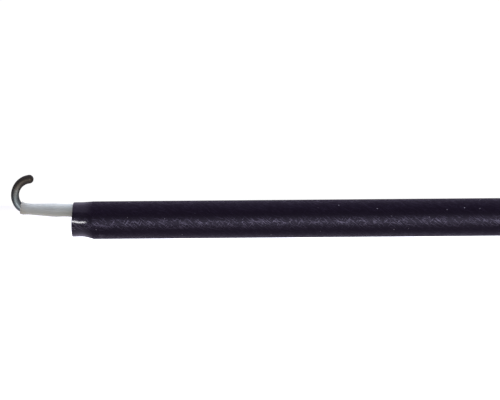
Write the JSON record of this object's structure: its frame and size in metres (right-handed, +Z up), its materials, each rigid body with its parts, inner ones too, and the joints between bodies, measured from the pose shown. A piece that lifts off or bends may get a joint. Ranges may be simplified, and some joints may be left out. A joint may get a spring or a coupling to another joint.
{
  "type": "insulated hook electrode",
  "caption": "Bare J-shaped wire hook on a pale-sleeved rod, set off-centre in the necked end of a long black insulated shaft, with a flat moulded grip and a rear connector pin.",
  "frame": {"origin": "centre of the grip's flat underside, on which the instrument lies", "axes": "+X along the shaft towards the connector pin, -X towards the hook, +Z up, the way the hook curls"},
  "size_m": [0.216, 0.014, 0.011],
  "materials": {
    "shaft_insulation": "satin black shrink sleeve with a faint purple cast",
    "electrode_sleeve": "pale grey glossy insulation",
    "hook_steel": "drawn wire, darkened by heat",
    "tube_steel": "drawn tube",
    "brass": "turned",
    "plated_brass": "nickel plate",
    "grip_plastic": "fine-textured moulding",
    "insulator_plastic": "turned",
    "seal_rubber": "moulded",
    "screw_steel": "plain"
  },
  "bodies": {
    "root": {"hook_electrode": "hook_steel", "conductor_rod": "tube_steel", "electrode_sleeve": "electrode_sleeve", "shaft_insulation": "shaft_insulation", "nose_insulator": "insulator_plastic", "shaft_tube": "tube_steel", "shaft_ferrule": "brass", "shaft_seal": "seal_rubber", "rod_spacer_1": "insulator_plastic", "rod_spacer_2": "insulator_plastic", "rod_spacer_3": "insulator_plastic", "tube_end_bush": "insulator_plastic", "front_collar": "grip_plastic", "grip_body": "grip_plastic", "contact_block": "brass", "wire_screw_front": "screw_steel", "wire_screw_rear": "screw_steel", "connector_pin": "plated_brass", "rear_cap": "grip_plastic", "rear_seal": "seal_rubber"}
  },
  "joints": []
}
